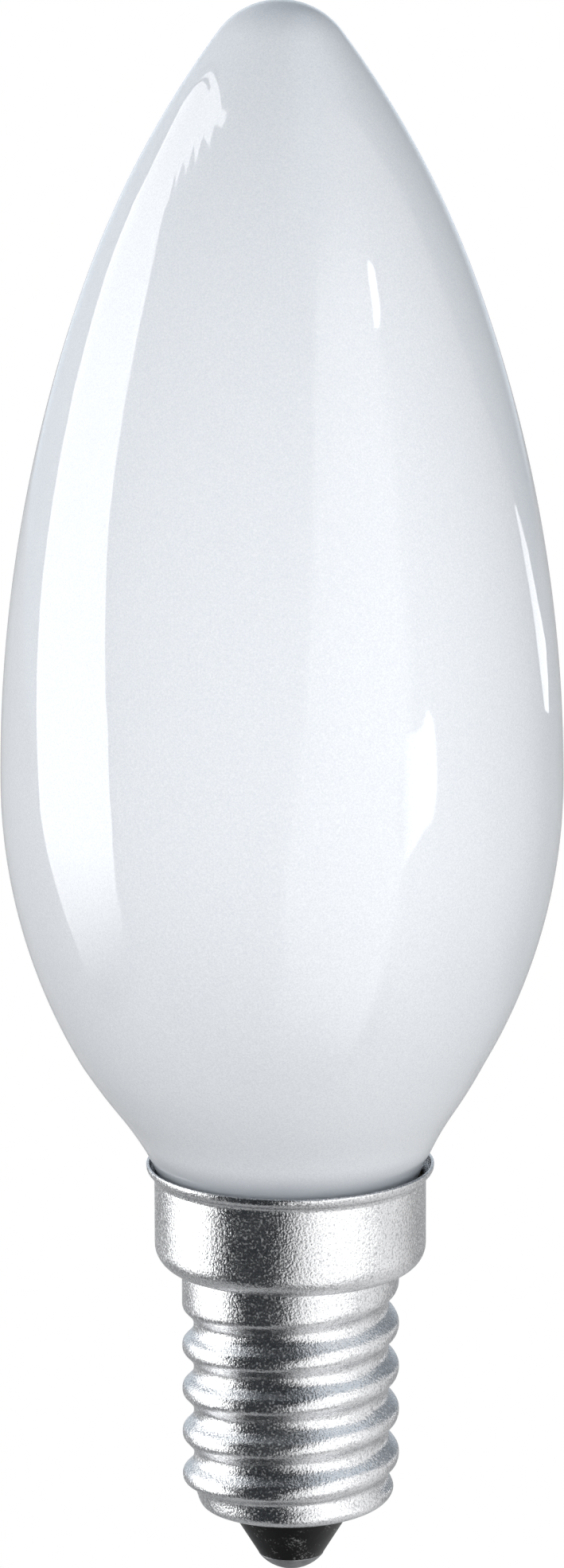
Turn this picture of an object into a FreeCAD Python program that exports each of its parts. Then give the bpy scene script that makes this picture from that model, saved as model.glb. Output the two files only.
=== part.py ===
import FreeCAD, Part
import math
import os
from FreeCAD import Vector

# Candle lamp with a small screw cap. Millimetres and degrees.
# Z runs up the screw cap's axis, from the tip of the centre contact to the tip of the bulb.

# Whole lamp
overall_length = 100.0
bulb_diameter = 35.0

# Sheet metal screw cap, heights from the tip of the contact
sheet = 0.2
shell_bottom = 4.1
shoulder_height = 19.85
skirt_length = 6.75
skirt_diameter = 17.04
shoulder_radius = 1.55
collar_fillet = 0.3
curl_radius = 2.25
curl_inside_radius = 1.2
bottom_opening = 9.3

# Flared rim at the top of the skirt
rim_step = 0.51
rim_slope = 50.0
rim_bend = 0.35
rim_lip = 0.41
rim_edge_fillet = 0.08

# Rolled knuckle thread, right-handed
thread_pitch = 2.822
crest_diameter = 13.66
thread_depth = 0.73
thread_lead = 0.73
thread_top_gap = 0.1
thread_fade = 120.0
thread_run_out = 3.5
rings_per_pitch = 8
points_per_ring = 32

# Black glass insulator
insulator_top = 8.2
insulator_fit = 0.02
insulator_recess = 0.15
insulator_half_angle = 31.8
insulator_fillet = 0.6
insulator_dish = 1.6

# Centre contact: an eyelet in the insulator under a dome of solder
contact_diameter = 4.1
contact_height = 1.05
contact_crown = 2.6
eyelet_flange = 3.5
eyelet_sheet = 0.3
eyelet_bore = 1.2
eyelet_wall = 0.25
eyelet_depth = 2.4
eyelet_fit = 0.02

# Glass bulb, from its mouth in the rim up to the tip
mouth_gap = 0.32
mouth_angle = 24.9
taper_radius = 21.4
taper_turn = 11.2
tip_radius = 4.7
tip_angle = 36.2
flank_turn = 16.7

# The neck stands off the cap's axis towards -X, and the bulb's body further still
neck_offset = 0.1
bulb_offset = 0.45
lean_start = 1.0
lean_height = 5.8

# Sealed foot of the bulb inside the cap, with the stem's hollow flare and the exhaust tube
foot_gap = 0.95
foot_radius = 0.9
flare_top_radius = 3.4
flare_roof = 0.6
exhaust_diameter = 3.8
exhaust_length = 6.5

# Basing cement between neck and skirt
cement_top_gap = 1.6
cement_fit = 0.01

# Lead wires
centre_lead_diameter = 0.4
side_lead_diameter = 0.15
lead_radius = 2.65
lead_bend = 0.9
lead_fit = 0.02
lead_entry = 1.9
solder_overlap = 0.35
side_solder_radius = 0.6

# Heights and radii that follow from the sizes above
crest_radius = crest_diameter / 2
root_radius = crest_radius - thread_depth
skirt_radius = skirt_diameter / 2
rim_radius = skirt_radius + rim_step
rim_height = shoulder_height + skirt_length
shoulder_inside = shoulder_height + sheet
skirt_bore_radius = skirt_radius - sheet
rim_bore_radius = rim_radius - sheet
barrel_bore_radius = root_radius - sheet
curl_top = shell_bottom + curl_radius
mouth_radius = rim_bore_radius - mouth_gap
foot_height = shoulder_inside + foot_gap
neck_drop = rim_height - foot_height - foot_radius
neck_bend = neck_drop / math.sin(math.radians(mouth_angle))
neck_radius = mouth_radius - neck_bend * (1 - math.cos(math.radians(mouth_angle)))
flare_top = rim_height + lean_start - flare_roof
exhaust_tip = foot_height - exhaust_length
axis_up = Vector(0, 0, 1)


def turned(angle, radius, centre=(0.0, 0.0)):
    """Point on a circle in the (r, z) plane, the angle measured up from the outward direction."""
    a = math.radians(angle)
    return (centre[0] + radius * math.cos(a), centre[1] + radius * math.sin(a))


def flat(point, x_shift=0.0):
    """A point (r, z) of an outline as a place in the XZ plane."""
    return Vector(point[0] + x_shift, 0, point[1])


def corner_arc(before, corner, after, radius):
    """Arc of the given radius that rounds the corner between two straight runs, as three points."""
    to_before = (before - corner).normalize()
    to_after = (after - corner).normalize()
    half = to_before.getAngle(to_after) / 2
    middle = (to_before + to_after).normalize()
    centre = corner + middle * (radius / math.sin(half))
    start = corner + to_before * (radius / math.tan(half))
    end = corner + to_after * (radius / math.tan(half))
    return start, centre - middle * radius, end


def rounded_run(points, radii, closed):
    """Wire of straight runs through the points, each corner rounded by its radius, 0 for a sharp one."""
    count = len(points)
    joints = []
    for i, point in enumerate(points):
        inner = closed or 0 < i < count - 1
        if radii[i] > 0 and inner:
            joints.append(corner_arc(points[i - 1], point, points[(i + 1) % count], radii[i]))
        else:
            joints.append((point, None, point))
    edges = []
    for i, (start, middle, end) in enumerate(joints):
        if middle is not None:
            edges.append(Part.Arc(start, middle, end).toShape())
        if closed or i < count - 1:
            following = joints[(i + 1) % count][0]
            if end.distanceToPoint(following) > 1e-6:
                edges.append(Part.LineSegment(end, following).toShape())
    return Part.Wire(edges)


def turned_solid(corners, x_shift=0.0):
    """Solid of revolution about the vertical axis at x_shift, from corners (r, z) or (r, z, radius)."""
    points = [flat(c, x_shift) for c in corners]
    radii = [c[2] if len(c) > 2 else 0.0 for c in corners]
    face = Part.Face(rounded_run(points, radii, True))
    return face.revolve(Vector(x_shift, 0, 0), axis_up, 360)


def arc_edge(centre, radius, first, last, x_shift=0.0):
    """Arc of an outline between two angles about its centre (r, z)."""
    ends = [flat(turned(a, radius, centre), x_shift) for a in (first, (first + last) / 2, last)]
    return Part.Arc(*ends).toShape()


def bent_wire(points, bends, diameter):
    """Round wire that follows straight runs, with a bend of its own radius at each corner."""
    path = rounded_run(points, bends, False)
    first = points[0]
    section = Part.Circle(first, points[1] - first, diameter / 2).toShape()
    return path.makePipe(Part.Face(Part.Wire(section)))


def skirt_outline(inset, top):
    """Corners of the cap's outline above its shoulder, moved in by inset: skirt, rim's step and lip."""
    rise = rim_step / math.tan(math.radians(rim_slope))
    upper_bend = rim_height - rim_lip + inset * math.tan(math.radians(rim_slope / 2))
    return [
        (skirt_radius - inset, shoulder_height + inset, shoulder_radius - inset),
        (skirt_radius - inset, upper_bend - rise, rim_bend + inset),
        (rim_radius - inset, upper_bend, rim_bend + sheet - inset),
        (rim_radius - inset, top),
    ]


def knuckle(distance):
    """Depth of the thread's groove at a distance along the axis from its root: equal arcs, root and crest."""
    quarter = thread_pitch / 4
    turn = 2 * math.atan(thread_depth / 2 / quarter)
    radius = quarter / math.sin(turn)
    if distance < quarter:
        return thread_depth - radius + math.sqrt(radius**2 - distance**2)
    return radius - math.sqrt(radius**2 - (2 * quarter - distance) ** 2)


def ease(share):
    """Smooth step from 0 to 1."""
    share = min(1.0, max(0.0, share))
    return share * share * (3 - 2 * share)


def groove_depth(turn, run):
    """Depth of the right-handed groove at a share of a turn and a run up the barrel's developed outline."""
    start = shell_bottom - thread_lead
    last_turn = (shoulder_height - thread_pitch / 2 - thread_top_gap - start) / thread_pitch
    climb = (run - start) / thread_pitch - turn
    whole = round(climb)
    top_fade = ease((last_turn - turn - whole) * 360 / thread_fade)
    bottom_fade = ease((run - curl_top + curl_radius * math.pi / 2) / thread_run_out)
    return top_fade * bottom_fade * knuckle(abs(climb - whole) * thread_pitch)


def barrel_point(turn, run):
    """Place on the barrel: up its straight wall or round its curl, moved inwards by the groove's depth."""
    bend = max(0.0, (curl_top - run) / curl_radius)
    reach = curl_radius - groove_depth(turn, run)
    radius = crest_radius - curl_radius + reach * math.cos(bend)
    height = max(run, curl_top) - reach * math.sin(bend)
    angle = 2 * math.pi * turn
    return Vector(radius * math.cos(angle), radius * math.sin(angle), height)


def make_barrel():
    """Threaded barrel, solid for now: a loft through closed rings, from the curled edge into the skirt."""
    low = curl_top - curl_radius * math.pi / 2
    span = shoulder_height + shoulder_radius / 2 - low
    rows = math.ceil(span * rings_per_pitch / thread_pitch)
    shares = [k / points_per_ring for k in range(points_per_ring + 1)]
    rings = []
    for row in range(rows + 1):
        run = low + span * row / rows
        ring = Part.BSplineCurve()
        ring.interpolate(
            Points=[barrel_point(turn, run) for turn in shares[:-1]], PeriodicFlag=True, Parameters=shares
        )
        rings.append(Part.Wire([ring.toShape()]))
    return Part.makeLoft(rings, True, False)


def make_screw_shell():
    """One drawn and rolled sheet: flared rim, skirt, shoulder, threaded barrel and curled bottom edge."""
    skirt = turned_solid([(0, shoulder_height)] + skirt_outline(0.0, rim_height) + [(0, rim_height)])
    top = rim_height + sheet
    inside = turned_solid(
        [
            (0, shell_bottom + sheet),
            (barrel_bore_radius, shell_bottom + sheet, curl_inside_radius),
            (barrel_bore_radius, shoulder_inside, collar_fillet),
        ]
        + skirt_outline(sheet, top)
        + [(0, top)]
    )
    opening = Part.makeCylinder(bottom_opening / 2, curl_radius, Vector(0, 0, shell_bottom - sheet))
    shell = skirt.fuse(make_barrel()).cut([inside, opening])
    rim_edges = [
        edge
        for edge in shell.Edges
        if edge.BoundBox.ZMin > rim_height - 1e-4 and edge.BoundBox.ZMax < rim_height + 1e-4
    ]
    return shell.makeFillet(rim_edge_fillet, rim_edges).Solids[0]


def make_insulator():
    """Black glass that fills the curled end of the shell, with a cone below that carries the contact."""
    outer = barrel_bore_radius - insulator_fit
    floor = shell_bottom + sheet + insulator_fit
    edge = bottom_opening / 2 - insulator_fit
    ledge = shell_bottom + insulator_recess
    seat = contact_diameter / 2
    cone_top = seat + (ledge - contact_height) * math.tan(math.radians(insulator_half_angle))
    hole = eyelet_bore / 2 + eyelet_wall + eyelet_fit
    return turned_solid([
        (hole, contact_height),
        (seat, contact_height),
        (cone_top, ledge, insulator_fillet),
        (edge, ledge),
        (edge, floor),
        (outer, floor, curl_inside_radius - insulator_fit),
        (outer, insulator_top),
        (hole, insulator_top - insulator_dish),
    ])


def make_eyelet():
    """Flanged metal eyelet set in the insulator's hole, which the centre lead comes down through."""
    bore = eyelet_bore / 2
    tube = bore + eyelet_wall
    return turned_solid([
        (bore, contact_height - eyelet_sheet),
        (eyelet_flange / 2, contact_height - eyelet_sheet, eyelet_sheet / 3),
        (eyelet_flange / 2, contact_height),
        (tube, contact_height),
        (tube, contact_height + eyelet_depth),
        (bore, contact_height + eyelet_depth),
    ])


def make_contact_solder(eyelet, lead):
    """Dome of solder on the eyelet, its rim on the insulator's seat and its crown at height 0."""
    edge = contact_diameter / 2
    side = math.asin(edge / contact_crown)
    sag = contact_crown * (1 - math.cos(side))
    rim = Vector(edge, 0, sag)
    crown_arc = Part.Arc(
        Vector(0, 0, 0),
        Vector(contact_crown * math.sin(side / 2), 0, contact_crown * (1 - math.cos(side / 2))),
        rim,
    ).toShape()
    edges = [crown_arc]
    wall = [rim, Vector(edge, 0, contact_height), Vector(0, 0, contact_height), Vector(0, 0, 0)]
    for first, second in zip(wall, wall[1:]):
        if first.distanceToPoint(second) > 1e-6:
            edges.append(Part.LineSegment(first, second).toShape())
    dome = Part.Face(Part.Wire(edges)).revolve(Vector(0, 0, 0), axis_up, 360)
    return dome.cut(eyelet).cut(lead).Solids[0]


def bulb_arcs():
    """Arcs of the bulb's outline from the mouth up: centre, radius, first and last angle of each."""
    taper_angle = mouth_angle + taper_turn
    flank_angle = tip_angle - flank_turn
    belly_radius = bulb_diameter / 2
    cos = lambda angle: math.cos(math.radians(angle))
    sin = lambda angle: math.sin(math.radians(angle))
    # The neck's hollow curve, which leans further out above the mouth
    taper_centre = (mouth_radius + taper_radius * cos(mouth_angle), rim_height - taper_radius * sin(mouth_angle))
    taper_end = turned(180 - taper_angle, taper_radius, taper_centre)
    # The lower arc swells from there to the widest circle
    lower_radius = (belly_radius - taper_end[0]) / (1 - cos(taper_angle))
    widest = taper_end[1] + lower_radius * sin(taper_angle)
    lower_centre = (belly_radius - lower_radius, widest)
    # Two arcs from the widest circle to the tip's arc, whose radii make both ends meet
    across = belly_radius - tip_radius * cos(tip_angle)
    up = overall_length - widest - tip_radius * (1 - sin(tip_angle))
    flank_across = cos(flank_angle) - cos(tip_angle)
    flank_up = sin(tip_angle) - sin(flank_angle)
    upper_across = 1 - cos(flank_angle)
    upper_up = sin(flank_angle)
    scale = flank_across * upper_up - upper_across * flank_up
    flank_radius = (across * upper_up - upper_across * up) / scale
    upper_radius = (flank_across * up - flank_up * across) / scale
    upper_centre = (belly_radius - upper_radius, widest)
    tip_centre = (0, overall_length - tip_radius)
    tangent = turned(tip_angle, tip_radius, tip_centre)
    flank_centre = (
        tangent[0] - flank_radius * cos(tip_angle),
        tangent[1] - flank_radius * sin(tip_angle),
    )
    taper = (taper_centre, taper_radius, 180 - mouth_angle, 180 - taper_angle)
    body = [
        (lower_centre, lower_radius, -taper_angle, 0),
        (upper_centre, upper_radius, 0, flank_angle),
        (flank_centre, flank_radius, flank_angle, tip_angle),
        (tip_centre, tip_radius, tip_angle, 90),
    ]
    return taper, body


def height_angle(arc, height):
    """Angle on an arc of the outline, on its outer side from the axis or its hollow side, at a height."""
    centre, radius, first, _ = arc
    angle = math.degrees(math.asin((height - centre[1]) / radius))
    return 180 - angle if first > 90 else angle


def turned_edges(edges, x_shift):
    """Solid of revolution about x = x_shift of outline edges that already form a closed loop with the axis."""
    wire = Part.Wire(Part.__sortEdges__(edges))
    return Part.Face(wire).revolve(Vector(x_shift, 0, 0), axis_up, 360)


def straight_edges(points, x_shift):
    """Straight outline edges through points (r, z)."""
    places = [flat(p, x_shift) for p in points]
    return [Part.LineSegment(a, b).toShape() for a, b in zip(places, places[1:])]


def arc_between(arc, bottom, top, x_shift):
    """The part of an outline arc between two heights, and its end points (r, z)."""
    centre, radius, _, _ = arc
    first = height_angle(arc, bottom)
    last = height_angle(arc, top)
    edge = arc_edge(centre, radius, first, last, x_shift)
    return edge, turned(first, radius, centre), turned(last, radius, centre)


def make_foot(taper, top):
    """The bulb below the given height: neck bend, rounded foot, the stem's hollow flare and exhaust tube."""
    bend_centre = (neck_radius + neck_bend, foot_height + foot_radius)
    foot_centre = (neck_radius - foot_radius, foot_height + foot_radius)
    exhaust_radius = exhaust_diameter / 2
    mouth_arc, _, upper_end = arc_between(taper, rim_height, top, -neck_offset)
    tip_arc_centre = (0, exhaust_tip + exhaust_radius)
    edges = [
        arc_edge(tip_arc_centre, exhaust_radius, -90, 0, -neck_offset),
        arc_edge(foot_centre, foot_radius, 180, 360, -neck_offset),
        arc_edge(bend_centre, neck_bend, 180, 180 - mouth_angle, -neck_offset),
        mouth_arc,
    ]
    edges += straight_edges(
        [
            (exhaust_radius, tip_arc_centre[1]),
            (exhaust_radius, flare_top),
            (flare_top_radius, flare_top),
            (foot_centre[0] - foot_radius, foot_centre[1]),
        ],
        -neck_offset,
    )
    edges += straight_edges([upper_end, (0, top), (0, exhaust_tip)], -neck_offset)
    return turned_edges(edges, -neck_offset)


def make_lean(taper, lower, bottom, top):
    """The stretch of neck that leans over from the cap's side to the belly's axis: a turned piece, sheared."""
    taper_end = turned(taper[3], taper[1], taper[0])
    hollow, start, _ = arc_between(taper, bottom, taper_end[1], 0)
    swell, _, end = arc_between(lower, taper_end[1], top, 0)
    edges = [hollow, swell] + straight_edges([end, (0, top), (0, bottom), start], 0)
    lean = FreeCAD.Matrix()
    lean.A13 = -(bulb_offset - neck_offset) / (top - bottom)
    lean.A14 = -neck_offset - lean.A13 * bottom
    return turned_edges(edges, 0).transformGeometry(lean)


def make_body(body, bottom):
    """The bulb above the given height: lower swell, belly, flank and tip."""
    lower = body[0]
    swell, start, _ = arc_between(lower, bottom, lower[0][1], -bulb_offset)
    edges = [swell] + [arc_edge(*arc, x_shift=-bulb_offset) for arc in body[1:]]
    edges += straight_edges([(0, overall_length), (0, bottom), start], -bulb_offset)
    return turned_edges(edges, -bulb_offset)


def make_glass_bulb():
    """One blown and sealed glass body, whose neck leans over a little between the cap and the belly."""
    taper, body = bulb_arcs()
    lean_bottom = rim_height + lean_start
    lean_top = lean_bottom + lean_height
    foot = make_foot(taper, lean_bottom)
    lean = make_lean(taper, body[0], lean_bottom, lean_top)
    return foot.fuse([lean, make_body(body, lean_top)]).Solids[0]


def make_centre_lead():
    """Lead from the stem down beside the exhaust tube, through the eyelet and into the solder."""
    entry = insulator_top - insulator_dish + lead_entry
    points = [
        Vector(-lead_radius, 0, flare_top),
        Vector(-lead_radius, 0, (exhaust_tip + entry) / 2),
        Vector(0, 0, entry),
        Vector(0, 0, solder_overlap),
    ]
    return bent_wire(points, [lead_bend] * len(points), centre_lead_diameter)


def make_side_lead():
    """Lead from the stem under the bulb's foot and up the skirt's inner wall to the rim, at the back."""
    inset = sheet + side_lead_diameter / 2 + lead_fit
    shoulder, bend, upper, end = skirt_outline(inset, rim_height - sheet)
    places = [(lead_radius, flare_top), (lead_radius, shoulder[1]), shoulder, bend, upper, end]
    points = [Vector(0, place[0], place[1]) for place in places]
    bends = [0, lead_bend, shoulder[2], bend[2], upper[2], 0]
    return bent_wire(points, bends, side_lead_diameter)


def make_side_solder(shell, glass, lead):
    """Bead of solder that joins the side lead to the rim, at the back."""
    bead = Part.makeSphere(side_solder_radius, Vector(0, rim_radius - sheet, rim_height))
    return bead.cut(shell).cut(glass).cut(lead).Solids[0]


def make_cement(glass, lead):
    """Ring of basing cement that fills the skirt round the neck, with the side lead bedded in it."""
    bottom = shoulder_height + shoulder_radius
    top = rim_height - cement_top_gap
    ring = Part.makeCylinder(skirt_bore_radius - cement_fit, top - bottom, Vector(0, 0, bottom))
    core = Part.makeCylinder(neck_radius - foot_radius, top - bottom, Vector(-neck_offset, 0, bottom))
    return ring.cut(core).cut(glass).cut(lead).Solids[0]


def main():
    glass = make_glass_bulb()
    shell = make_screw_shell()
    eyelet = make_eyelet()
    centre_lead = make_centre_lead()
    side_lead = make_side_lead()
    parts = {
        "glass_bulb": glass,
        "screw_shell": shell,
        "insulator": make_insulator(),
        "centre_eyelet": eyelet,
        "contact_solder": make_contact_solder(eyelet, centre_lead),
        "basing_cement": make_cement(glass, side_lead),
        "centre_lead": centre_lead,
        "side_lead": side_lead,
        "side_solder": make_side_solder(shell, glass, side_lead),
    }
    os.makedirs("parts", exist_ok=True)
    for name, shape in parts.items():
        shape.exportStep(f"parts/{name}.step")
        print(name, shape.ShapeType, len(shape.Solids), shape.isValid(), round(shape.Volume, 2))


main()
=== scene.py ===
import math

import bpy
import numpy as np
from mathutils import Matrix, Vector


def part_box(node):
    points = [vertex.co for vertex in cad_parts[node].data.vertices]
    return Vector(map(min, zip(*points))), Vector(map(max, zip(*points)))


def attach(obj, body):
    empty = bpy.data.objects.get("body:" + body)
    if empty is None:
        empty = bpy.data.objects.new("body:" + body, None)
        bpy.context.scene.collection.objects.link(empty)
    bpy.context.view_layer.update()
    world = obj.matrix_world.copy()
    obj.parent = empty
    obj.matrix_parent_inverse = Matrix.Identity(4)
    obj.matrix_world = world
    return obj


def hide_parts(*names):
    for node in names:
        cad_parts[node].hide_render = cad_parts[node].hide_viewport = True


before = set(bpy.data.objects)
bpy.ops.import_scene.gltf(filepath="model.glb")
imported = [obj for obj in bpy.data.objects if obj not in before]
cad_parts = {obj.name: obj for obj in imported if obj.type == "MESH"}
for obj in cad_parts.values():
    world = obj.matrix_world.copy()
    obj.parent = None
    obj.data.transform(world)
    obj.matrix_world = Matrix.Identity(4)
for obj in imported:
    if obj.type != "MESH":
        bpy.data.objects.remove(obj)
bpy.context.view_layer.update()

# A frosted candle bulb on a small plated screw cap, held in the air with its cap down.
# Metres; +Z runs from the centre contact to the glass tip, and the photograph was taken from -Y.

MM = 0.001
WHITE = "#FFFFFF"

# Glass outline in millimetres and degrees, as on the CAD node
OVERALL_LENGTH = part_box("glass_bulb")[1][2] / MM
BULB_RADIUS = (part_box("glass_bulb")[1][1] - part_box("glass_bulb")[0][1]) / 2 / MM
RIM_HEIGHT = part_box("screw_shell")[1][2] / MM
RIM_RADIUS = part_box("screw_shell")[1][0] / MM
SHEET = 0.2
MOUTH_GAP = 0.32
MOUTH_ANGLE = 24.9
TAPER_RADIUS = 21.4
TAPER_TURN = 11.2
TIP_RADIUS = 4.7
TIP_ANGLE = 36.2
FLANK_TURN = 16.7
FOOT_HEIGHT = 21.0
FOOT_RADIUS = 0.9
NECK_OFFSET = 0.1
BULB_OFFSET = 0.45
LEAN_START = 1.0
LEAN_HEIGHT = 5.8

# Heights over the rim, in millimetres, over which the glass goes from the painted shade at the neck
# to its full frosted colour
NECK_SHADE_FADE_START = -0.3
NECK_SHADE_FADE_END = 2.0

# Scale of the drawing lines, twenty times as long as they are wide
LINE_SCALE = (1.0, 1.0, 0.05)

# Points on each arc of the outline, from the foot up, and round the glass
FOOT_POINTS = 9
BEND_POINTS = 25
TAPER_POINTS = 25
LOWER_POINTS = 70
UPPER_POINTS = 90
FLANK_POINTS = 60
TIP_POINTS = 40
ROUND_POINTS = 240

# Angle at which the tip's arc ends, one degree short of the pole that closes it
TIP_END = 89

# Sockets of a mix node: its two inputs and its result
MIX_SOCKETS = {"FLOAT": (2, 3, 0), "RGBA": (6, 7, 2)}


def cos(angle):
    """Cosine of an angle in degrees."""
    return math.cos(math.radians(angle))


def sin(angle):
    """Sine of an angle in degrees."""
    return math.sin(math.radians(angle))


def linear(code):
    """sRGB hex code as a linear, opaque colour."""
    parts = [int(code[i : i + 2], 16) / 255 for i in (1, 3, 5)]
    levels = [c / 12.92 if c <= 0.04045 else ((c + 0.055) / 1.055) ** 2.4 for c in parts]
    return (*levels, 1.0)


def link_in(name, data):
    """A new object with a mesh, light or camera, in the scene."""
    made = bpy.data.objects.new(name, data)
    bpy.context.scene.collection.objects.link(made)
    return made


def surface(name, rings):
    """Closed smooth mesh through rings of points, rows by columns.

    Its quads run from row i to i + 1 and column j to j + 1, the last column meeting the first, and
    triangles join each end ring to a pole at its middle.
    """
    rows, columns, _ = rings.shape
    ring = np.arange(columns)
    ahead = (ring + 1) % columns
    i, j = np.meshgrid(np.arange(rows - 1), ring, indexing="ij")
    row, row_above = i * columns, (i + 1) * columns
    quads = [row + j, row + ahead[j], row_above + ahead[j], row_above + j]
    points = rings.reshape(-1, 3)
    low, high = len(points), len(points) + 1
    last = (rows - 1) * columns
    faces = np.stack(quads, axis=-1).reshape(-1, 4).tolist()
    faces += np.stack([ahead, ring, np.full(columns, low)], axis=-1).tolist()
    faces += np.stack([last + ring, last + ahead, np.full(columns, high)], axis=-1).tolist()
    places = np.vstack([points, rings[0].mean(axis=0), rings[-1].mean(axis=0)])
    mesh = bpy.data.meshes.new(name)
    mesh.from_pydata(places.tolist(), [], faces)
    mesh.polygons.foreach_set("use_smooth", np.ones(len(mesh.polygons), dtype=bool))
    mesh.update()
    return link_in(name, mesh)


def arc(centre, radius, first, last, count):
    """Points (r, z) of an arc, centre + radius * (cos a, sin a), from first to last in degrees."""
    a = np.radians(np.linspace(first, last, count))
    return np.stack([centre[0] + radius * np.cos(a), centre[1] + radius * np.sin(a)], axis=-1)


def glass_outline():
    """Outline (r, z) of the glass in millimetres from its foot to its tip, as tangent arcs.

    Foot, neck bend and hollow taper turn out to the lower swell; the upper swell and the flank have
    the radii that make both of their ends meet the widest circle and the arc of the tip.
    """
    mouth = RIM_RADIUS - SHEET - MOUTH_GAP
    bend = (RIM_HEIGHT - FOOT_HEIGHT - FOOT_RADIUS) / sin(MOUTH_ANGLE)
    neck = mouth - bend * (1 - cos(MOUTH_ANGLE))
    taper_angle = MOUTH_ANGLE + TAPER_TURN
    flank_angle = TIP_ANGLE - FLANK_TURN
    taper_centre = (
        mouth + TAPER_RADIUS * cos(MOUTH_ANGLE),
        RIM_HEIGHT - TAPER_RADIUS * sin(MOUTH_ANGLE),
    )
    taper_r = taper_centre[0] - TAPER_RADIUS * cos(taper_angle)
    taper_z = taper_centre[1] + TAPER_RADIUS * sin(taper_angle)
    lower = (BULB_RADIUS - taper_r) / (1 - cos(taper_angle))
    widest = taper_z + lower * sin(taper_angle)
    across = BULB_RADIUS - TIP_RADIUS * cos(TIP_ANGLE)
    up = OVERALL_LENGTH - widest - TIP_RADIUS * (1 - sin(TIP_ANGLE))
    flank_across, flank_up = cos(flank_angle) - cos(TIP_ANGLE), sin(TIP_ANGLE) - sin(flank_angle)
    upper_across, upper_up = 1 - cos(flank_angle), sin(flank_angle)
    scale = flank_across * upper_up - upper_across * flank_up
    flank = (across * upper_up - upper_across * up) / scale
    upper = (flank_across * up - flank_up * across) / scale
    tip_z = OVERALL_LENGTH - TIP_RADIUS
    flank_centre = (
        (TIP_RADIUS - flank) * cos(TIP_ANGLE),
        tip_z + (TIP_RADIUS - flank) * sin(TIP_ANGLE),
    )
    foot_z = FOOT_HEIGHT + FOOT_RADIUS
    runs = [
        arc((neck - FOOT_RADIUS, foot_z), FOOT_RADIUS, -90, 0, FOOT_POINTS),
        arc((neck + bend, foot_z), bend, 180, 180 - MOUTH_ANGLE, BEND_POINTS),
        arc(taper_centre, TAPER_RADIUS, 180 - MOUTH_ANGLE, 180 - taper_angle, TAPER_POINTS),
        arc((BULB_RADIUS - lower, widest), lower, -taper_angle, 0, LOWER_POINTS),
        arc((BULB_RADIUS - upper, widest), upper, 0, flank_angle, UPPER_POINTS),
        arc(flank_centre, flank, flank_angle, TIP_ANGLE, FLANK_POINTS),
        arc((0, tip_z), TIP_RADIUS, TIP_ANGLE, TIP_END, TIP_POINTS),
    ]
    return np.vstack([run if k == 0 else run[1:] for k, run in enumerate(runs)])


def glass_bulb():
    """Outline turned about a centre that leans over: x = centre(z) + r cos t, y = r sin t.

    The centre stands at the neck's offset below the lean and at the body's offset above it.
    """
    outline = glass_outline()
    r, z = outline[:, :1], outline[:, 1:]
    t = np.linspace(0, 2 * math.pi, ROUND_POINTS, endpoint=False)[None, :]
    lean = np.clip((z - RIM_HEIGHT - LEAN_START) / LEAN_HEIGHT, 0, 1)
    centre = -NECK_OFFSET - (BULB_OFFSET - NECK_OFFSET) * lean
    points = np.stack([centre + r * np.cos(t), r * np.sin(t), z + 0 * t], axis=-1) * MM
    return surface("frosted_glass_bulb", points)


def add(tree, kind, sockets=None, **settings):
    """Adds a node: settings are its properties, sockets its inputs by name or place.

    An input is given as a value, or as the output that links to it.
    """
    made = tree.nodes.new(kind)
    for name, value in settings.items():
        setattr(made, name, value)
    for key, value in (sockets or {}).items():
        if isinstance(value, bpy.types.NodeSocket):
            tree.links.new(value, made.inputs[key])
        else:
            made.inputs[key].default_value = value
    return made


def noise(tree, place, size, detail):
    """Noise between 0 and 1, whose coarsest features have the given size in millimetres."""
    return add(tree, "ShaderNodeTexNoise", {
        "Vector": place, "Scale": 1 / (size * MM), "Detail": detail,
    }).outputs["Fac"]


def ramp(tree, value, start, end, low=0.0, high=1.0, smooth=False):
    """Goes from low to high as a value goes from start to end, and stays level beyond them."""
    return add(tree, "ShaderNodeMapRange", {
        "Value": value, "From Min": start, "From Max": end, "To Min": low, "To Max": high,
    }, interpolation_type="SMOOTHSTEP" if smooth else "LINEAR").outputs["Result"]


def combine(tree, operation, first, second):
    """Two values added or multiplied, or the larger of them."""
    return add(tree, "ShaderNodeMath", {0: first, 1: second}, operation=operation).outputs["Value"]


def mix(tree, factor, first, second, kind="RGBA"):
    """Goes from the first colour, or value, to the second as the factor goes from 0 to 1."""
    start, end, result = MIX_SOCKETS[kind]
    sockets = {"Factor": factor, start: first, end: second}
    return add(tree, "ShaderNodeMix", sockets, data_type=kind).outputs[result]


def relief(tree, height, depth, strength=1.0):
    """Normal of a surface that a pattern raises, by a depth in millimetres."""
    return add(tree, "ShaderNodeBump", {
        "Height": height, "Distance": depth * MM, "Strength": strength,
    }).outputs["Normal"]


def material(name):
    """A new material, its tree, its surface shader and the coordinates that its patterns read."""
    made = bpy.data.materials.new(name)
    made.use_nodes = True
    tree = made.node_tree
    place = add(tree, "ShaderNodeTexCoord").outputs["Object"]
    return made, tree, tree.nodes["Principled BSDF"], place


def plug(tree, shader, **sockets):
    """Sets or links a shader's inputs, named with underscores for spaces."""
    for name, value in sockets.items():
        target = shader.inputs[name.replace("_", " ")]
        if isinstance(value, bpy.types.NodeSocket):
            tree.links.new(value, target)
        else:
            target.default_value = value


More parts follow.
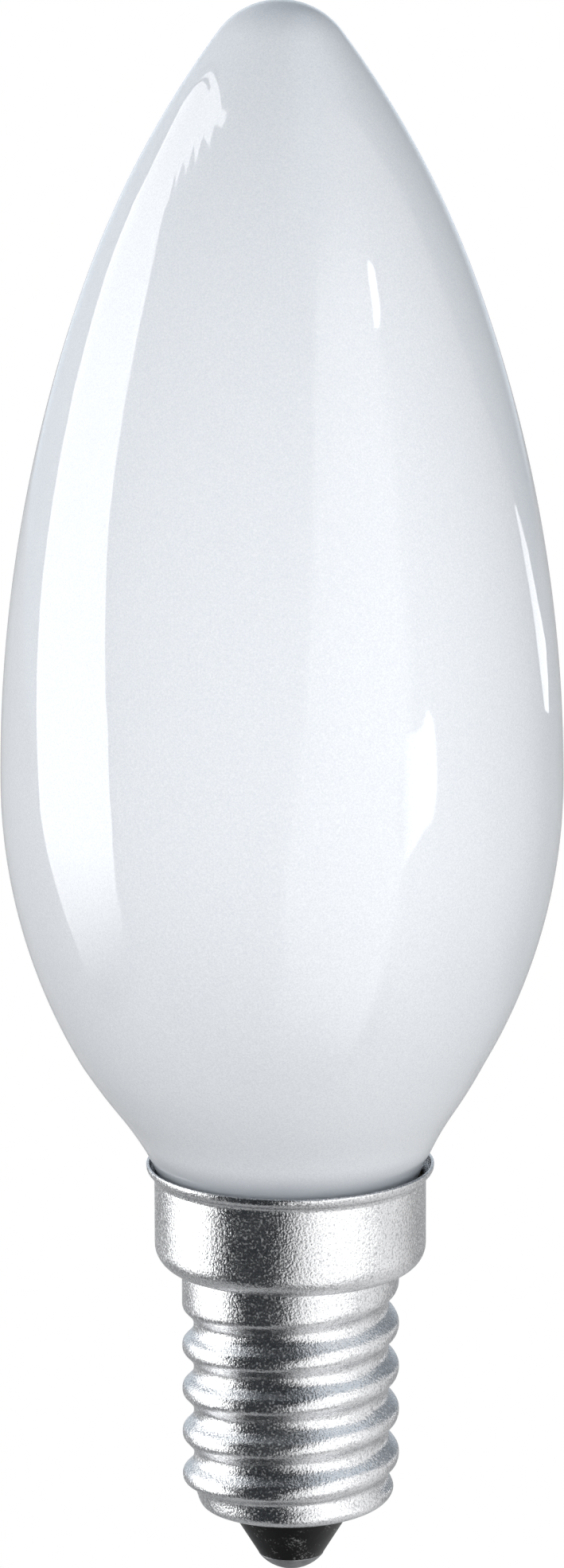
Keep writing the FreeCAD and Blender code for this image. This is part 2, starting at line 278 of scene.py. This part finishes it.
def frosted_glass():
    """Blown soda-lime glass, etched inside: the eye sees a soft, bluish white under a wet gloss."""
    made, tree, shader, place = material("frosted soda-lime glass")
    height = add(tree, "ShaderNodeSeparateXYZ", {"Vector": place}).outputs["Z"]
    # Painted shade and painted reflection: near the rim the neck is darkened, standing in for the
    # cap rim's shadow and its dark reflection in the glass
    start, full = (RIM_HEIGHT + NECK_SHADE_FADE_START) * MM, (RIM_HEIGHT + NECK_SHADE_FADE_END) * MM
    neck = ramp(tree, height, start, full, smooth=True)
    # Etching leaves a fine grain, drawn at a tenth of a millimetre to show at all
    grain = noise(tree, place, size=0.1, detail=1.0)
    frost = mix(tree, grain, linear("#FCFDFF"), linear("#DCE0E6"))
    colour = mix(tree, neck, linear("#ACB2B9"), frost)
    # Drawing lines in the glass run lengthwise, and are only a few micrometres deep
    drawn = add(tree, "ShaderNodeMapping", {"Vector": place, "Scale": LINE_SCALE})
    lines = noise(tree, drawn.outputs["Vector"], size=1.5, detail=3.0)
    plug(tree, shader, Base_Color=colour, Roughness=0.012, IOR=1.5,
         Normal=relief(tree, lines, depth=0.008, strength=0.6),
         Subsurface_Weight=0.6, Subsurface_Radius=(1.0, 1.0, 1.0), Subsurface_Scale=3 * MM)
    return made


def plated_sheet():
    """Nickel-plated brass sheet, drawn and rolled: satin silver, lightly worn, with fine sparkle."""
    made, tree, shader, place = material("nickel-plated sheet")
    grain = noise(tree, place, size=0.14, detail=2.0)
    cloud = noise(tree, place, size=2.5, detail=4.0)
    tone = mix(tree, cloud, linear("#CDCED0"), linear("#E6E6E7"))
    # Painted shade: the plating is darkened in the hollows between the grains
    grain_hollow_shade = ramp(tree, grain, start=0.32, end=0.52, low=0.55, high=0.0)
    colour = mix(tree, grain_hollow_shade, tone, linear("#7C7E81"))
    worn = ramp(tree, cloud, start=0.3, end=0.7, low=0.17, high=0.27)
    # The highest grains are rough, and sparkle with light from all round
    peaks = ramp(tree, grain, start=0.57, end=0.7, high=0.35)
    plug(tree, shader, Base_Color=colour, Metallic=1.0, Roughness=combine(tree, "ADD", worn, peaks),
         Normal=relief(tree, grain, depth=0.035))
    return made


def black_glass():
    """Pressed black glass: near black with a subdued gloss, fine dust and a slight waviness."""
    made, tree, shader, place = material("pressed black glass")
    dust = noise(tree, place, size=0.14, detail=2.0)
    patch = noise(tree, place, size=1.6, detail=2.0)
    specks = ramp(tree, combine(tree, "MULTIPLY", dust, patch), start=0.33, end=0.44)
    colour = mix(tree, specks, linear("#09090A"), linear("#7A7A79"))
    wave = noise(tree, place, size=0.8, detail=3.0)
    plug(tree, shader, Base_Color=colour, Roughness=0.3, IOR=1.52, Specular_IOR_Level=0.12,
         Normal=relief(tree, wave, depth=0.03, strength=0.5))
    return made


def solder():
    """Soft solder left as it froze: a dull grey dome, finely pitted and lumpy."""
    made, tree, shader, place = material("soft solder")
    lumps = noise(tree, place, size=0.7, detail=6.0)
    colour = mix(tree, lumps, linear("#58595B"), linear("#A4A5A6"))
    plug(tree, shader, Base_Color=colour, Metallic=0.8, Roughness=0.5,
         Normal=relief(tree, lumps, depth=0.12, strength=0.8))
    return made


def plain_metal(name, light, dark, roughness):
    """Drawn wire or pressed sheet of one metal, a little dulled by the heat of making."""
    made, tree, shader, place = material(name)
    tone = noise(tree, place, size=0.6, detail=3.0)
    colour = mix(tree, tone, linear(dark), linear(light))
    plug(tree, shader, Base_Color=colour, Metallic=1.0, Roughness=roughness)
    return made


def cement():
    """Resin-bound basing cement: a sandy, granular tan, quite matt."""
    made, tree, shader, place = material("basing cement")
    grit = noise(tree, place, size=0.3, detail=5.0)
    colour = mix(tree, grit, linear("#6F6047"), linear("#B5A384"))
    plug(tree, shader, Base_Color=colour, Roughness=0.9, Normal=relief(tree, grit, depth=0.1))
    return made


def dress(node, finish):
    """Gives a CAD node its finish."""
    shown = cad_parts[node]
    shown.data.materials.clear()
    shown.data.materials.append(finish)


def direction(azimuth, elevation):
    """Unit vector out from the bulb: azimuth 0 goes to the camera, a positive one to its right."""
    return Vector((sin(azimuth) * cos(elevation), -cos(azimuth) * cos(elevation), sin(elevation)))


def blank_tree(owner):
    """Empty node tree of a material or world."""
    owner.use_nodes = True
    owner.node_tree.nodes.clear()
    return owner.node_tree


def light_panel(name, corners, *fades, strength, distance):
    """A flat diffuser between corners (azimuth, elevation), all on one upright plane at a distance.

    Each fade is ("up" or "across", start, end, share): along that way the light grows from a share
    of its strength at the start angle to all of it at the end angle. The panel shows in gloss only.
    """
    middle = sum((direction(*corner) for corner in corners), Vector()).normalized()
    facing = Vector((middle.x, middle.y, 0)).normalized()
    turned = math.degrees(math.atan2(facing.x, -facing.y))
    places = []
    for corner in corners:
        ray = direction(*corner)
        places.append(BULB_CENTRE + ray * (distance / ray.dot(facing)))
    mesh = bpy.data.meshes.new(name)
    mesh.from_pydata([tuple(p) for p in places], [], [list(range(len(places)))])
    panel = link_in(name, mesh)
    glow = bpy.data.materials.new(name)
    tree = blank_tree(glow)
    place = add(tree, "ShaderNodeTexCoord").outputs["Object"]
    level = strength
    for way, start, end, share in fades:
        if way == "up":
            axis, base, zero = (0, 0, 1), BULB_CENTRE.z, 0
        else:
            axis, base, zero = (-facing.y, facing.x, 0), 0, turned
        ends = [base + distance * math.tan(math.radians(angle - zero)) for angle in (start, end)]
        along = add(tree, "ShaderNodeVectorMath", {0: place, 1: axis}, operation="DOT_PRODUCT")
        grown = ramp(tree, along.outputs["Value"], *ends, low=share, smooth=True)
        level = combine(tree, "MULTIPLY", level, grown)
    shine = add(tree, "ShaderNodeEmission", {"Color": linear(WHITE), "Strength": level})
    add(tree, "ShaderNodeOutputMaterial", {"Surface": shine.outputs["Emission"]})
    mesh.materials.append(glow)
    panel.visible_camera = False
    panel.visible_shadow = False
    panel.visible_diffuse = False


def lamp(name, azimuth, elevation, distance, size, strength):
    """A soft square lamp that faces the bulb; its strength is its radiance, where 1 is white."""
    light = bpy.data.lights.new(name, "AREA")
    light.size = size
    light.energy = strength * math.pi * size**2
    made = link_in(name, light)
    way = direction(azimuth, elevation)
    made.location = BULB_CENTRE + way * distance
    made.rotation_euler = way.to_track_quat("Z", "Y").to_euler()
    made.visible_camera = False
    made.visible_glossy = False


def studio():
    """White backdrop behind and dim room in front, as gloss sees them.

    Matt surfaces get a fill from above instead, and the camera sees plain white.
    """
    world = bpy.data.worlds.new("studio")
    bpy.context.scene.world = world
    tree = blank_tree(world)
    way = add(tree, "ShaderNodeTexCoord").outputs["Generated"]
    away = add(tree, "ShaderNodeSeparateXYZ", {"Vector": way}).outputs
    right = ramp(tree, away["Z"], *LOW_TO_RIGHT, RIGHT_LOW_BACKDROP, RIGHT_BACKDROP)
    side = ramp(tree, away["X"], *LEFT_TO_RIGHT, LEFT_BACKDROP, right)
    backdrop = ramp(tree, away["Y"], *SIDE_TO_MIDDLE, side, 1.0)
    room = ramp(tree, away["Y"], *ROOM_TO_BACKDROP, ROOM_LEVEL, backdrop, smooth=True)
    # A ceiling light at the right, high above, which only steep metal faces reflect
    high = ramp(tree, away["Z"], *CEILING_UP)
    ceiling = ramp(tree, away["X"], *CEILING_ACROSS, high=CEILING_LEVEL)
    room = combine(tree, "MAXIMUM", room, combine(tree, "MULTIPLY", high, ceiling))
    fill = ramp(tree, away["Z"], *FILL_UP, LOW_FILL, FILL_LEVEL)
    rays = add(tree, "ShaderNodeLightPath").outputs
    mirror = combine(tree, "MAXIMUM", rays["Is Glossy Ray"], rays["Is Transmission Ray"])
    unseen = mix(tree, mirror, fill, room, kind="FLOAT")
    level = mix(tree, rays["Is Camera Ray"], unseen, 1.0, kind="FLOAT")
    tint = mix(tree, rays["Is Camera Ray"], linear("#EBF5FF"), linear(WHITE))
    back = add(tree, "ShaderNodeBackground", {"Color": tint, "Strength": level})
    add(tree, "ShaderNodeOutputWorld", {"Surface": back.outputs["Background"]})


def floor():
    """A pale floor far below the bulb: white to the camera, dim in gloss at its left and back."""
    mesh = bpy.data.meshes.new("floor")
    mesh.from_pydata([
        (-FLOOR_SIDE, FLOOR_FRONT, FLOOR_HEIGHT), (FLOOR_SIDE, FLOOR_FRONT, FLOOR_HEIGHT),
        (FLOOR_SIDE, FLOOR_BACK, FLOOR_HEIGHT), (-FLOOR_SIDE, FLOOR_BACK, FLOOR_HEIGHT),
    ], [], [(0, 1, 2, 3)])
    made = link_in("floor", mesh)
    paint = bpy.data.materials.new("pale floor")
    tree = blank_tree(paint)
    matt = add(tree, "ShaderNodeBsdfDiffuse", {"Color": linear("#B4B4B4")})
    white = add(tree, "ShaderNodeEmission", {"Color": linear(WHITE), "Strength": 1.0})
    rays = add(tree, "ShaderNodeLightPath").outputs
    way = add(tree, "ShaderNodeTexCoord").outputs["Object"]
    place = add(tree, "ShaderNodeSeparateXYZ", {"Vector": way}).outputs
    near = ramp(tree, place["X"], *FLOOR_ACROSS, LEFT_FLOOR, RIGHT_FLOOR)
    gloss = ramp(tree, place["Y"], *FLOOR_ALONG, near, FAR_FLOOR)
    mirrored = combine(tree, "MULTIPLY", rays["Is Glossy Ray"], gloss)
    seen = combine(tree, "MAXIMUM", rays["Is Camera Ray"], mirrored)
    shade = add(tree, "ShaderNodeMixShader", {
        0: seen, 1: matt.outputs["BSDF"], 2: white.outputs["Emission"],
    })
    add(tree, "ShaderNodeOutputMaterial", {"Surface": shade.outputs["Shader"]})
    mesh.materials.append(paint)


def camera():
    """The photograph's view: a long lens a little above the bulb, whose picture leans by a hair."""
    data = bpy.data.cameras.new("camera")
    data.sensor_width = SENSOR
    data.lens = FOCAL_PIXELS * SENSOR / PICTURE_HEIGHT
    data.clip_end = CAMERA_REACH
    made = link_in("camera", data)
    way = direction(0, CAMERA_ELEVATION)
    tilt = Matrix.Rotation(math.radians(90 - CAMERA_ELEVATION), 4, "X")
    roll = Matrix.Rotation(math.radians(CAMERA_ROLL), 4, "Z")
    made.matrix_world = Matrix.Translation(CAMERA_TARGET + way * CAMERA_DISTANCE) @ (tilt @ roll)
    bpy.context.scene.camera = made


# Camera, from the photograph
SENSOR = 36.0
PICTURE_HEIGHT = 1970
FOCAL_PIXELS = 12138
CAMERA_DISTANCE = 0.6
CAMERA_REACH = 50
CAMERA_ELEVATION = 13.3
CAMERA_ROLL = -0.15
CAMERA_TARGET = Vector((-BULB_OFFSET, 0, 50.9)) * MM

# Light levels, where 1 is white
FILL_LEVEL = 0.36
LOW_FILL = 0.0
ROOM_LEVEL = 0.05
CEILING_LEVEL = 1.0
LEFT_BACKDROP = 0.72
RIGHT_BACKDROP = 0.38
RIGHT_LOW_BACKDROP = 0.5
LEFT_FLOOR = 0.22
RIGHT_FLOOR = 0.85
FAR_FLOOR = 0.40

# Where the studio's levels change, as a component of the unit vector out from the bulb
LOW_TO_RIGHT = (-0.26, -0.02)
LEFT_TO_RIGHT = (-0.2, 0.2)
SIDE_TO_MIDDLE = (0.90, 0.97)
ROOM_TO_BACKDROP = (-0.35, 0.25)
CEILING_UP = (0.5, 0.75)
CEILING_ACROSS = (0.05, 0.35)
FILL_UP = (-0.7, 0.9)

# The floor's edges, and where its level changes, in metres
FLOOR_HEIGHT = -0.8
FLOOR_FRONT = -0.3
FLOOR_BACK = 6
FLOOR_SIDE = 4
FLOOR_ACROSS = (0.0, 0.5)
FLOOR_ALONG = (0.4, 1.6)

# Middle of the bulb, which lamps and panels face, and how far off and how wide its fill lamps are
BULB_CENTRE = Vector((0, 0, OVERALL_LENGTH / 2)) * MM
FILL_DISTANCE = 0.9
FILL_SIZE = 0.7

bpy.context.scene.view_settings.view_transform = "Standard"
camera()
studio()
floor()
# Tall diffuser at the left, leaning back and ragged at its top: its reflection is the bright strip
light_panel("left_diffuser", [
    (-106, -46), (-108, -29), (-110, -23.5), (-116, -13), (-123.5, -4), (-127.5, 2), (-134, 8.5),
    (-135, 12), (-133, 15), (-136, 18.5), (-125.5, 26.5), (-108.5, 35), (-81.5, 42.5), (-70.5, 45),
    (-72, 43), (-81.5, 40.5), (-78, 39), (-90, 36.5), (-85, 35), (-95.5, 33.5), (-91, 32),
    (-100, 30.5), (-96, 29), (-102.5, 28), (-98, 27), (-99, 26), (-93, 23.5), (-89.5, 20),
    (-86.5, 13.5), (-83.5, 6.5), (-78.5, -1), (-75, -6.5), (-73, -13), (-74, -23), (-76, -46),
], ("up", -38, -14, 0.0), ("across", -130, -85, 0.65), strength=4.7, distance=1.0)
# Two dark bars just in front of the diffuser's top
light_panel("left_bar_low", [
    (-142, 15.5), (-102.5, 35.5), (-101.5, 36.3), (-141, 16.3),
], strength=0.0, distance=0.97)
light_panel("left_bar_high", [
    (-140, 18), (-99, 38), (-98, 38.8), (-139, 18.8),
], strength=0.0, distance=0.97)
# Window at the right, brighter towards its far side, with a wall beyond it and three small lamps
light_panel("right_window", [
    (14, 10), (9, -3), (2, -15), (0, -28), (-3, -62), (47, -62), (51, -28), (53, -10.5),
    (53.5, -1.5), (54, 7.5), (57, 17.5), (58, 30), (52.5, 44), (26.5, 36.5), (17.5, 23),
], ("up", -62, -40, 0.2), ("up", 50, 24, 0.0), ("across", 5, 53, 0.55), strength=2.15, distance=1.2)
light_panel("right_wall", [
    (45, -66), (142, -66), (143, -10), (137, -4.5), (127, 1), (114.5, 10.5), (111, 22.5),
    (69.5, 47), (50, 46),
], ("across", 142, 88, 0.36), ("up", -66, -48, 0.3), strength=1.15, distance=1.4)
light_panel("right_lamp", [
    (61.5, -4), (63.5, -5), (65, -6.5), (65, -10.5), (63, -12.5), (58.5, -13), (56.5, -14.5),
    (51.5, -18), (47, -13), (49.5, -6), (52, -5.5), (58.5, -5.5),
], ("across", 46, 56, 0.1), strength=5.0, distance=1.1)
light_panel("high_lamp", [
    (63, 30.5), (66, 29), (62.5, 24.5), (59.5, 24), (57, 24.5), (60, 29.5),
], strength=8.0, distance=1.1)
light_panel("back_lamp", [
    (129, -1), (131.5, -1.5), (135, -3.5), (139.5, -6.5), (144, -8.5), (142, -10.5), (137, -10),
    (134.5, -8.5), (133.5, -7), (131, -4),
], strength=2.6, distance=1.2)
# Soft lamps, which don't show in gloss: a key in front, a glow on the belly and four fills
lamp("front_key", 4, 3, distance=0.42, size=0.36, strength=2.08)
lamp("belly_glow", 3, 8, distance=0.11, size=0.06, strength=3.2)
lamp("left_fill", -90, 1, FILL_DISTANCE, FILL_SIZE, strength=2.7)
lamp("left_back", -145, 8, FILL_DISTANCE, FILL_SIZE, strength=3.0)
lamp("right_fill", 76, -10, FILL_DISTANCE, FILL_SIZE, strength=1.8)
lamp("right_back", 150, -18, FILL_DISTANCE, FILL_SIZE, strength=2.0)

SOLDER = solder()
LEAD = plain_metal("copper-clad lead wire", light="#C9A582", dark="#8E6B4C", roughness=0.35)
glass = glass_bulb()
glass.data.materials.append(frosted_glass())
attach(glass, "root")
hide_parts("glass_bulb")
dress("screw_shell", plated_sheet())
dress("insulator", black_glass())
dress("contact_solder", SOLDER)
dress("side_solder", SOLDER)
dress("centre_eyelet", plain_metal("brass eyelet", light="#C8AA6A", dark="#9A7E45", roughness=0.3))
dress("basing_cement", cement())
dress("centre_lead", LEAD)
dress("side_lead", LEAD)
